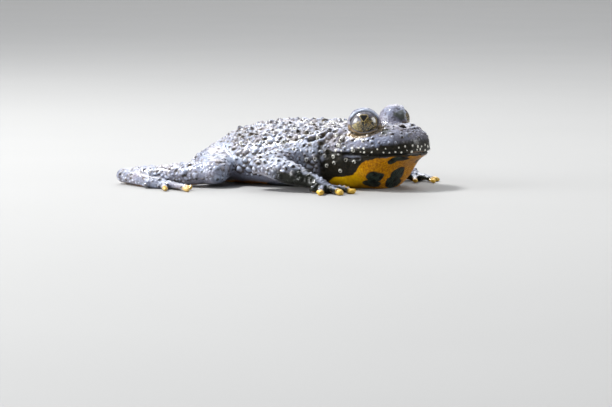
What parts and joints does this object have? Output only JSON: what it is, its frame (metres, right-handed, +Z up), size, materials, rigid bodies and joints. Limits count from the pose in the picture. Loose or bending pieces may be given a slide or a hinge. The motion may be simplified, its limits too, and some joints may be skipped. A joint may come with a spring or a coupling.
{
  "type": "fire-bellied toad",
  "caption": "Life-size fire-bellied toad at rest, flat on its belly with its head raised and its legs folded, with a warty back and bulging eyes.",
  "frame": {"origin": "the middle of the belly's flat, at the level of the floor that the toad rests on", "axes": "+X towards the snout, +Y towards the toad's left side, +Z up from the floor"},
  "size_m": [0.0506, 0.0566, 0.0142],
  "materials": {
    "trunk_skin": "moist warty skin, grey-brown above and yellow with dark patches below",
    "head_skin": "moist warty skin with a dark lip band and pale dots",
    "throat_skin": "moist smooth skin, orange-yellow with black patches",
    "arm_skin": "moist warty skin, grey-brown above and yellow below",
    "leg_skin": "moist warty skin, pale grey above and yellow below",
    "hand_skin": "moist skin with yellow finger tips",
    "foot_skin": "moist skin with yellow toe tips",
    "eye": "wet gloss, gold-brown iris with a black pupil"
  },
  "bodies": {
    "root": {"torso": "trunk_skin", "head": "head_skin", "lower_jaw": "throat_skin", "upper_arm_right": "arm_skin", "upper_arm_left": "arm_skin", "forearm_right": "arm_skin", "forearm_left": "arm_skin", "hand_right": "hand_skin", "hand_left": "hand_skin", "thigh_right": "leg_skin", "thigh_left": "leg_skin", "shank_right": "leg_skin", "shank_left": "leg_skin", "foot_right": "foot_skin", "foot_left": "foot_skin", "eye_right": "eye", "eye_left": "eye"}
  },
  "joints": []
}
